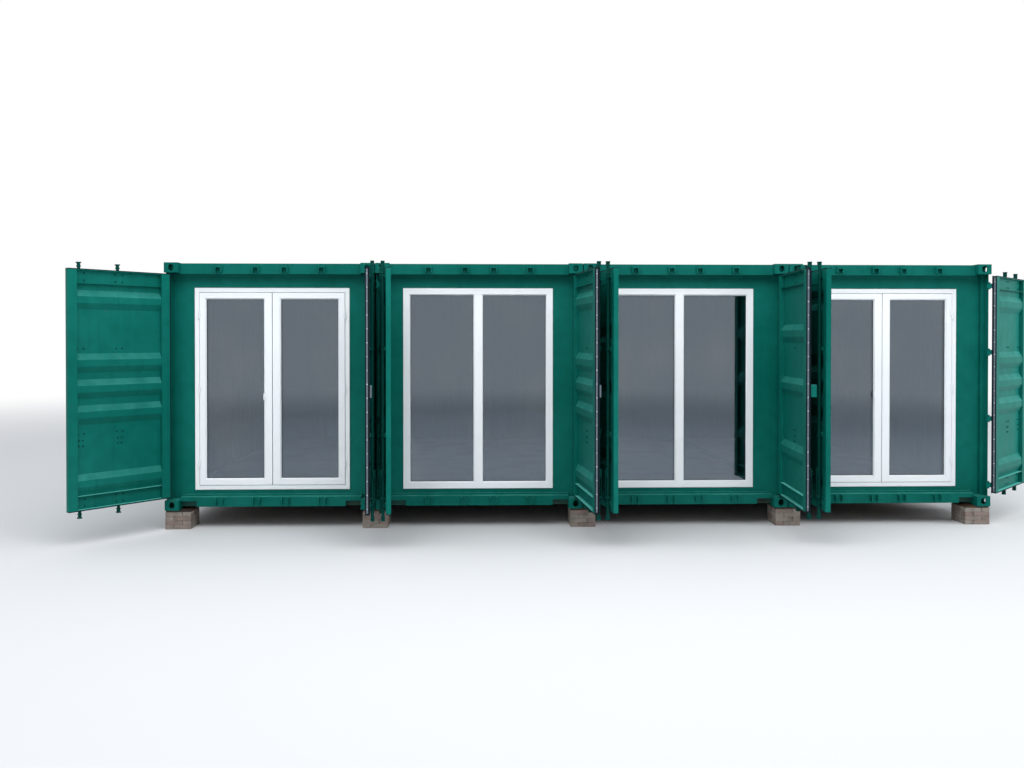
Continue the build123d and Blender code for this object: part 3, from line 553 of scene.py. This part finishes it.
for body in glazed_bodies:
    pane_low, pane_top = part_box(of_leaf(body, "door_glass"))
    pane = pane_top - pane_low
    across, level = (pane_low.x + pane_top.x) / 2, (pane_low.z + pane_top.z) / 2
    place = Matrix.Translation((across, pane_low.y, level))
    beads = [(framed(pane.x, pane.z, glazing_section), place)]
    gaskets = [(framed(pane.x, pane.z, gasket_section), place)]
    joined(of_leaf(body, "glazing_beads"), beads, body, white_profile)
    joined(of_leaf(body, "pane_gaskets"), gaskets, body, gasket_rubber)
drain_cover_thick = 0.004
drain_cover = chamfered_block((0.034, drain_cover_thick, 0.008), 0.0015)
drain_rise = 0.016
drain_level = casting_level + frame_bottom + drain_rise
drain_shares = (-0.38, -0.12, 0.12, 0.38)
drain_covers = []
for middle, width in zip(frame_middles, frame_wides):
    for share in drain_shares:
        spot = (middle + share * width, frame_face - drain_cover_thick / 2, drain_level)
        drain_covers.append((drain_cover, Matrix.Translation(spot)))
joined("drain_slot_covers", drain_covers, "cabin", white_profile)


# Glass: sealed double units with a sun coating, which mirrors a little more than plain
# float glass and looks faintly blue. The light goes through it.
clear_glass = Finish("clear glass")
glass_sheen = clear_glass.node("ShaderNodeFresnel", {}, {"IOR": 1.5})
glass_smears = clear_glass.step(clear_glass.noise(1.3, 2.0), 0.45, 0.8)
see_through = clear_glass.node("ShaderNodeBsdfTransparent", {}, {"Color": (0.60, 0.66, 0.66, 1)})
clear_glass.set({
    "Base Color": clear_glass.mix(glass_smears, (0.74, 0.84, 0.98, 1), (0.80, 0.87, 0.97, 1)),
    "Roughness": 0.010 + glass_smears * 0.010,
    "Metallic": 1.0,
})
clear_glass.bump(clear_glass.noise(0.9, 0.0), 0.0004)
glass_mirror = glass_sheen * 2.8 + glass_smears * 0.010 + 0.025
clear_glass.cover(glass_mirror, see_through, clear_glass.own_shader())
finish_node("fixed_glass", clear_glass)
for body in glazed_bodies:
    finish_node(of_leaf(body, "door_glass"), clear_glass)


# Cargo doors: each leaf is a welded frame of box stiles and channel rails round one
# ribbed sheet. It is sprayed with the container's enamel, inside as well as out.
# The doors take far more of the pale green on faces that look up: a little dust, but mostly painted
# sky light on the top slopes of their ribs.
door_enamel = container_enamel("door enamel", dust_and_top_light=1.90, dents=2.5, chips=0.4)
cargo_joints = [joint for joint in frame["joints"] if joint["name"].endswith("cargo_hinge")]
for joint in cargo_joints:
    finish_node(of_leaf(joint["child"], "door_leaf"), door_enamel)


def leaf_place(joint):
    """Matrix from a leaf's own frame: along it from the pin, depth behind the pin, height."""
    pin = Vector(joint["pos_m"])
    hand = joint["axis"][2]
    turn = math.radians(-joint["range_deg"][0])
    along = Vector((-hand * math.cos(turn), -math.sin(turn), 0))
    depth = Vector((-hand * math.sin(turn), math.cos(turn), 0))
    place = Matrix.Identity(4)
    for row in range(3):
        place[row][0] = along[row]
        place[row][1] = depth[row]
    place.translation = Vector((pin.x, pin.y, casting_level))
    return place


# Hinge pins: forged steel pins dropped through the lugs of the posts and the blades of
# the leaves. Their heads are painted over with the post.
def ring_faces(rings, sides):
    """Faces over stacked rings of corners, with a face at both ends."""
    faces = []
    for ring in range(rings - 1):
        low, high = ring * sides, (ring + 1) * sides
        for side in range(sides):
            after = (side + 1) % sides
            faces.append([low + side, low + after, high + after, high + side])
    faces.append(list(range(sides)))
    faces.append([(rings - 1) * sides + side for side in range(sides)])
    return faces


def lathe(profile, sides):
    """A turned shape about its own Z axis, from radii and heights."""
    corners = []
    for radius, height in profile:
        for side in range(sides):
            turn = 2 * math.pi * side / sides
            corners.append((radius * math.cos(turn), radius * math.sin(turn), height))
    return corners, ring_faces(len(profile), sides)


hinge_levels = (0.254, 1.050, 1.845, 2.640)
lug_top = 0.0425
pin_head = lathe([(0.0100, 0.0), (0.0100, 0.0030), (0.0080, 0.0050), (0.0040, 0.0058)], 16)
pin_heads = []
for joint in cargo_joints:
    pin = Vector(joint["pos_m"])
    for level in hinge_levels:
        spot = (pin.x, pin.y, casting_level + level + lug_top)
        pin_heads.append((pin_head, Matrix.Translation(spot)))
joined("hinge_pin_heads", pin_heads, "cabin", frame_enamel)


# Rubber seals: an extruded channel round each leaf with two lips that press on the door
# opening. A zinc coated steel strip lies in the channel, riveted through to the leaf.
rubber = Finish("seal rubber")
rubber_bloom = rubber.step(rubber.noise(4.0, 5.0), 0.4, 0.75)
rubber_colour = rubber.mix(rubber_bloom * 0.6, (0.003, 0.006, 0.010, 1), (0.010, 0.018, 0.028, 1))
rubber.set({
    "Base Color": rubber_colour,
    "Roughness": 0.6 + rubber_bloom * 0.3,
    "Specular IOR Level": 0.12,
})
rubber.bump(rubber.noise(180.0, 3.0), 0.0005, edge_radius=0.002)
# The strip's colour is a dark zinc grey with a blue cast; the blue cast is a painted reflection of
# sky.
zinc_strip = Finish("zinc coated strip")
spangle = zinc_strip.noise(45.0, 3.0)
zinc_strip.set({
    "Base Color": zinc_strip.mix(spangle, (0.088, 0.118, 0.148, 1), (0.165, 0.205, 0.238, 1)),
    "Roughness": 0.50 + spangle * 0.2,
    "Metallic": 0.20,
    "Specular IOR Level": 0.25,
})
zinc_strip.bump(spangle, 0.0003)
rivet_steel = Finish("rivet steel")
rivet_dull = rivet_steel.noise(80.0, 2.0)
rivet_tone = rivet_steel.piece_tone()
rivet_steel.set({
    "Base Color": rivet_steel.mix(rivet_tone, (0.40, 0.43, 0.48, 1), (0.68, 0.70, 0.73, 1)),
    "Roughness": 0.3 + rivet_dull * 0.2,
    "Metallic": 0.6,
})
leaf_low, leaf_high = 0.165, 2.750
leaf_start, leaf_end = 0.012, 1.182
leaf_outer, leaf_inner = 0.040, 0.090
seal_base = 0.006
strip_wide, strip_thick = 0.017, 0.0016
strip_inward = 0.004
strip_end = 0.012
strip_chamfer = 0.0004
rivet_pitch = 0.145
rivet_margin = 0.060
rivet = lathe([(0.0060, 0.0), (0.0057, 0.0010), (0.0040, 0.0018), (0.0015, 0.0022)], 12)


def run_of(start, end, pitch):
    """Evenly spaced places between two ends."""
    count = max(2, round((end - start) / pitch) + 1)
    return [start + (end - start) * index / (count - 1) for index in range(count)]


def pointing(spot, axis):
    """Matrix that stands a turned shape on a spot, with its Z axis along an axis."""
    turn = Vector((0, 0, 1)).rotation_difference(Vector(axis))
    return Matrix.Translation(spot) @ turn.to_matrix().to_4x4()


strip_depth = (leaf_outer + leaf_inner) / 2 + strip_inward
upright_long = leaf_high - leaf_low - 2 * strip_end
level_long = leaf_end - leaf_start - 2 * strip_end
upright_strip = chamfered_block((strip_thick, strip_wide, upright_long), strip_chamfer)
level_strip = chamfered_block((level_long, strip_wide, strip_thick), strip_chamfer)
for joint in cargo_joints:
    body = joint["child"]
    finish_node(of_leaf(body, "door_seal"), rubber)
    place = leaf_place(joint)
    strips, rivets = [], []
    for edge, up in ((leaf_high + seal_base, 1), (leaf_low - seal_base, -1)):
        spot = ((leaf_start + leaf_end) / 2, strip_depth, edge + up * strip_thick / 2)
        strips.append((level_strip, place @ Matrix.Translation(spot)))
        for along in run_of(leaf_start + rivet_margin, leaf_end - rivet_margin, rivet_pitch):
            spot = (along, strip_depth, edge + up * strip_thick)
            rivets.append((rivet, place @ pointing(spot, (0, 0, up))))
    sealed_stiles = [(leaf_start - seal_base, -1)]
    if joint["axis"][2] > 0:
        sealed_stiles.append((leaf_end + seal_base, 1))
    for edge, out in sealed_stiles:
        spot = (edge + out * strip_thick / 2, strip_depth, (leaf_low + leaf_high) / 2)
        strips.append((upright_strip, place @ Matrix.Translation(spot)))
        for height in run_of(leaf_low + rivet_margin, leaf_high - rivet_margin, rivet_pitch):
            spot = (edge + out * strip_thick, strip_depth, height)
            rivets.append((rivet, place @ pointing(spot, (out, 0, 0))))
    joined(of_leaf(body, "seal_strips"), strips, body, zinc_strip)
    joined(of_leaf(body, "seal_rivets"), rivets, body, rivet_steel)


# Lock gear: two tube rods a leaf, with a forged cam at each end, turned by a lever on a
# hub. Collars keep each rod from sliding in its straps. All of it is painted green, but
# drawn much darker than the frame, as painted shade for the shadow it hangs in.
gear_enamel = container_enamel("lock gear enamel", chips=1.5, gloss=0.48, shade=0.42)
# The bolt enamel is darkened the same way, as painted shade on the bolt heads and domes.
bolt_enamel = container_enamel("bolt enamel", chips=1.2, gloss=0.55, shade=0.40)
rod_places = (0.597, 1.029)
rod_depth = 0.015
rod_radius = 0.017
rod_foot, rod_head = 0.084, 2.816
cam_low, cam_high = 0.078, 2.822
cam_front, cam_back = -0.008, 0.033
hub_levels = (0.880, 0.570)
bracket_levels = (0.240, 0.980, 1.900, 2.675)


def bar_of(outline, height):
    """A prism that stands on its own XY plane, from a closed outline."""
    corners = [(x, y, level) for level in (0.0, height) for x, y in outline]
    return corners, ring_faces(2, len(outline))


forged_sides = 8
forged_cut = 0.45


def tapered_bar(sections):
    """A forged bar from heights, depths, half widths and half thicknesses down its length."""
    corners = []
    for height, depth, half_wide, half_thick in sections:
        cut = half_thick * forged_cut
        for s, d in ((1, 1), (-1, 1), (-1, -1), (1, -1)):
            first = (s * (half_wide - cut), depth + d * half_thick, height)
            second = (s * half_wide, depth + d * (half_thick - cut), height)
            corners.extend((second, first) if s * d > 0 else (first, second))
    return corners, ring_faces(len(sections), forged_sides)


cam_half_outline = [
    (0.0165, -0.040), (0.0165, -0.031), (0.0105, -0.022), (0.0105, -0.001),
    (0.0212, 0.001), (0.0220, 0.010), (0.0200, 0.013),
]
cam_outline = cam_half_outline + [(-across, level) for across, level in reversed(cam_half_outline)]
cam = bar_of(cam_outline, cam_back - cam_front)
upright_cam = Matrix(((1, 0, 0, 0), (0, 0, 1, cam_front), (0, 1, 0, 0), (0, 0, 0, 1)))
rod_clear = 0.0005
rod_surface = rod_radius - rod_clear
rod = lathe([(rod_surface, rod_foot), (rod_surface, rod_head)], 24)
collar = lathe([
    (0.0165, -0.007), (0.0205, -0.006), (0.0215, -0.003),
    (0.0215, 0.003), (0.0205, 0.006), (0.0165, 0.007),
], 24)
collar_lift = 0.030
hub_back, hub_front = 0.014, -0.008
hub_plate = chamfered_block((0.060, hub_back - hub_front, 0.090), 0.004)
hub_bolt = lathe([(0.0110, 0.0), (0.0105, 0.0012), (0.0080, 0.0020)], 16)
lever_bolt_lifts = (-0.012, 0.014)
lever_front, bolt_seat = -0.018, 0.0001
lever = tapered_bar([
    (0.034, -0.0130, 0.0090, 0.0035),
    (0.026, -0.0132, 0.0140, 0.0045),
    (-0.024, -0.0134, 0.0145, 0.0045),
    (-0.060, -0.0138, 0.0115, 0.0042),
    (-0.105, -0.0145, 0.0105, 0.0040),
    (-0.150, -0.0128, 0.0105, 0.0040),
    (-0.195, -0.0146, 0.0110, 0.0040),
    (-0.235, -0.0132, 0.0125, 0.0042),
    (-0.280, -0.0145, 0.0150, 0.0042),
    (-0.300, -0.0145, 0.0120, 0.0035),
])
for joint in cargo_joints:
    body = joint["child"]
    place = leaf_place(joint)
    rods, levers = [], []
    for along, hub_level in zip(rod_places, hub_levels):
        rods.append((rod, place @ Matrix.Translation((along, rod_depth, 0))))
        for level, up in ((cam_high, 1), (cam_low, -1)):
            upright = Matrix.Translation((along, 0, level)) @ Matrix.Scale(up, 4, (0, 0, 1))
            rods.append((cam, place @ upright @ upright_cam))
        for level in bracket_levels:
            for lift in (-collar_lift, collar_lift):
                rods.append((collar, place @ Matrix.Translation((along, rod_depth, level + lift))))
        hub_spot = (along, (hub_back + hub_front) / 2, hub_level)
        levers.append((hub_plate, place @ Matrix.Translation(hub_spot)))
        levers.append((lever, place @ Matrix.Translation((along, 0, hub_level))))
        for lift in lever_bolt_lifts:
            bolt_spot = (along, lever_front + bolt_seat, hub_level + lift)
            levers.append((hub_bolt, place @ pointing(bolt_spot, (0, -1, 0))))
    lock_rods = joined(of_leaf(body, "lock_rods"), rods, body, gear_enamel)
    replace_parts(lock_rods, of_leaf(body, "lock_gear"))
    joined(of_leaf(body, "lock_levers"), levers, body, gear_enamel)


# Rod straps: pressed steel loops that hold the rods, bolted through pads on the leaf,
# and the forked rests that the levers hang in. The bolts' domed ends show inside.
strap_thick = 0.005
strap_foot = 0.043
strap_high = 0.034
foot_clear, loop_clear = 0.0003, 0.0015
foot_depth = rod_depth + rod_radius + foot_clear
foot_front = foot_depth - strap_thick
arc_steps = 12
arc_turns = [math.pi * step / arc_steps for step in range(arc_steps + 1)]
strap_arc = [(math.cos(turn), math.sin(turn)) for turn in arc_turns]
inner_radius = rod_radius + loop_clear
outer_radius = inner_radius + strap_thick
strap_outline = [(-strap_foot, foot_depth), (-strap_foot, foot_front), (-outer_radius, foot_front)]
for across, out in strap_arc:
    strap_outline.append((-outer_radius * across, rod_depth - outer_radius * out))
strap_outline += [(outer_radius, foot_front), (strap_foot, foot_front), (strap_foot, foot_depth)]
strap_outline.append((inner_radius, foot_depth))
for across, out in strap_arc:
    strap_outline.append((inner_radius * across, rod_depth - inner_radius * out))
strap_outline.append((-inner_radius, foot_depth))
strap = bar_of(strap_outline, strap_high)
bolt_head = lathe([(0.0085, 0.0), (0.0085, 0.0050), (0.0072, 0.0062)], 6)
dome_head = lathe([(0.0105, 0.0), (0.0100, 0.0025), (0.0078, 0.0048), (0.0035, 0.0058)], 16)
bolt_spread = 0.034
rail_bolt_spread, rail_bolt_lift = 0.040, 0.038
hub_bolt_spread, hub_bolt_lift = 0.021, 0.030
rail_inner, sheet_inner = 0.045, 0.048
sheet_front = 0.044
rest_drop = 0.262
rest_reach = 0.016
rest_foot_thick, rest_saddle_thick = 0.004, 0.006
rest_cheek = chamfered_block((0.004, sheet_front + rest_reach, 0.026), 0.001)
rest_foot = chamfered_block((0.070, rest_foot_thick, 0.040), 0.001)
rest_saddle = chamfered_block((0.036, rest_saddle_thick, 0.020), 0.0015)
rest_cheek_spread, rest_cheek_depth = 0.0195, (sheet_front - rest_reach) / 2
saddle_front, saddle_drop = -0.006, 0.006
dome_spots = []
for up in (-1, 1):
    dome_spots.append((hub_bolt_spread, hub_levels[0] + up * hub_bolt_lift, sheet_inner))
for level in bracket_levels:
    if level in (bracket_levels[0], bracket_levels[-1]):
        for up in (-1, 1):
            dome_spots.append((rail_bolt_spread, level + up * rail_bolt_lift, rail_inner))
    else:
        dome_spots.append((bolt_spread, level, sheet_inner))
for joint in cargo_joints:
    body = joint["child"]
    place = leaf_place(joint)
    straps, bolts, domes = [], [], []
    for along, hub_level in zip(rod_places, hub_levels):
        for level in bracket_levels:
            straps.append((strap, place @ Matrix.Translation((along, 0, level - strap_high / 2))))
            for side in (-1, 1):
                across = along + side * bolt_spread
                bolts.append((bolt_head, place @ pointing((across, foot_front, level), (0, -1, 0))))
        for spread, level, inner in dome_spots:
            for side in (-1, 1):
                dome_spot = (along + side * spread, inner, level)
                domes.append((dome_head, place @ pointing(dome_spot, (0, 1, 0))))
        rest_level = hub_level - rest_drop
        foot_spot = (along, sheet_front - rest_foot_thick / 2, rest_level)
        straps.append((rest_foot, place @ Matrix.Translation(foot_spot)))
        saddle_spot = (along, saddle_front, rest_level - saddle_drop)
        straps.append((rest_saddle, place @ Matrix.Translation(saddle_spot)))
        for side in (-1, 1):
            cheek_spot = (along + side * rest_cheek_spread, rest_cheek_depth, rest_level)
            straps.append((rest_cheek, place @ Matrix.Translation(cheek_spot)))
    joined(of_leaf(body, "rod_straps"), straps, body, gear_enamel)
    joined(of_leaf(body, "strap_bolts"), bolts, body, bolt_enamel)
    joined(of_leaf(body, "bolt_domes"), domes, body, bolt_enamel)


# Catch covers: folded plates of bare zinc coated steel over the catches of the first two
# right leaves, fixed to the free edge that the left leaf closes against.
catch_low, catch_high = 1.388, 1.517
catch_near, catch_face = 1.122, 0.022
cover_thick = 0.002
cover_chamfer = 0.0005
cover_high = catch_high - catch_low
cover_side = chamfered_block((cover_thick, leaf_outer - catch_face, cover_high), cover_chamfer)
cover_face = chamfered_block((leaf_end - catch_near, cover_thick, cover_high), cover_chamfer)
cover_middle = (catch_low + catch_high) / 2
side_spot = (leaf_end + cover_thick / 2, (leaf_outer + catch_face) / 2, cover_middle)
face_spot = ((leaf_end + catch_near) / 2, catch_face - cover_thick / 2, cover_middle)
cover_sheets = ((cover_side, side_spot), (cover_face, face_spot))
for joint in cargo_joints:
    body = joint["child"]
    if body not in ("first_right_cargo_door", "second_right_cargo_door"):
        continue
    place = leaf_place(joint)
    covers = [(sheet, place @ Matrix.Translation(spot)) for sheet, spot in cover_sheets]
    joined(of_leaf(body, "catch_cover"), covers, body, zinc_strip)


# Floor, light and camera: a pale studio floor under soft light from above, as under an
# overcast sky, and the camera where the photograph was taken from.
stage_floor = bpy.data.meshes.new("stage floor")
floor_half = 90.0
floor_corners = [(x * floor_half, y * floor_half, 0) for x, y in corner_signs]
stage_floor.from_pydata(floor_corners, [], [[0, 1, 2, 3]])
floor_object = bpy.data.objects.new("stage_floor", stage_floor)
bpy.context.scene.collection.objects.link(floor_object)
pale_floor = Finish("pale floor")
pale_floor.set({"Base Color": (0.56, 0.57, 0.585, 1), "Roughness": 0.9})
floor_reach = pale_floor.node(
    "ShaderNodeVectorMath", {"operation": "LENGTH"}, {0: pale_floor.place}, output="Value"
)
fade_start, fade_end = 12.0, 32.0
white_glow = pale_floor.node("ShaderNodeEmission", {}, {"Color": (1, 1, 1, 1), "Strength": 1.0})
floor_fade = pale_floor.step(floor_reach, fade_start, fade_end)
pale_floor.cover(floor_fade, pale_floor.own_shader(), white_glow)
stage_floor.materials.append(pale_floor.material)

world = bpy.data.worlds.new("studio")
world.use_nodes = True
bpy.context.scene.world = world
sky = Shading(world.node_tree)
sky_direction = sky.node("ShaderNodeTexCoord", output="Generated")
sky_height = sky.node("ShaderNodeSeparateXYZ", {}, {0: sky_direction}, output="Z")
sky_lift = sky.step(sky_height, 0.0, 0.95)
sky_light = sky.mix(sky_lift, (0.20, 0.21, 0.225, 1), (1.25, 1.28, 1.32, 1))
seen = sky.node("ShaderNodeLightPath", output="Is Camera Ray")
for ray in ("Is Glossy Ray", "Is Transmission Ray"):
    seen = seen + sky.node("ShaderNodeLightPath", output=ray)
sky_colour = sky.mix(seen, sky_light, (1, 1, 1, 1))
sky.feed(sky.tree.nodes["Background"].inputs["Color"], sky_colour)


def soft_light(name, spot, target, size, power):
    """A large soft lamp that looks at a target."""
    lamp = bpy.data.lights.new(name, "AREA")
    lamp.shape = "RECTANGLE"
    lamp.size, lamp.size_y = size
    lamp.energy = power
    holder = bpy.data.objects.new(name, lamp)
    bpy.context.scene.collection.objects.link(holder)
    holder.location = spot
    holder.rotation_euler = (Vector(target) - Vector(spot)).to_track_quat("-Z", "Y").to_euler()
    holder.visible_glossy = False


soft_light("overhead lamp", (-1.0, -5.0, 9.0), (0, 0, 1.2), (13, 6), 820)
soft_light("front lamp", (-4.0, -15.0, 5.0), (0, 0, 1.4), (10, 5), 150)
soft_light("right lamp", (15.5, -2.2, 5.5), (5.6, 0.3, 1.5), (5, 5), 1000)

picture_wide, picture_high = 1024, 768
focal_pixels = 898.1
optical_centre = (507.5, 347.9)
camera_data = bpy.data.cameras.new("photograph")
camera_data.sensor_width = 36.0
camera_data.lens = focal_pixels * camera_data.sensor_width / picture_wide
camera_data.shift_x = (picture_wide / 2 - optical_centre[0]) / picture_wide
camera_data.shift_y = (optical_centre[1] - picture_high / 2) / picture_wide
camera_data.clip_end = 300
camera = bpy.data.objects.new("photograph", camera_data)
bpy.context.scene.collection.objects.link(camera)
camera_tilt, camera_turn = -0.58, -1.689
camera.location = (-1.206, -10.741, 2.226)
camera.rotation_euler = (math.radians(90 + camera_tilt), 0, math.radians(camera_turn))
bpy.context.scene.camera = camera
bpy.context.scene.view_settings.view_transform = "Standard"
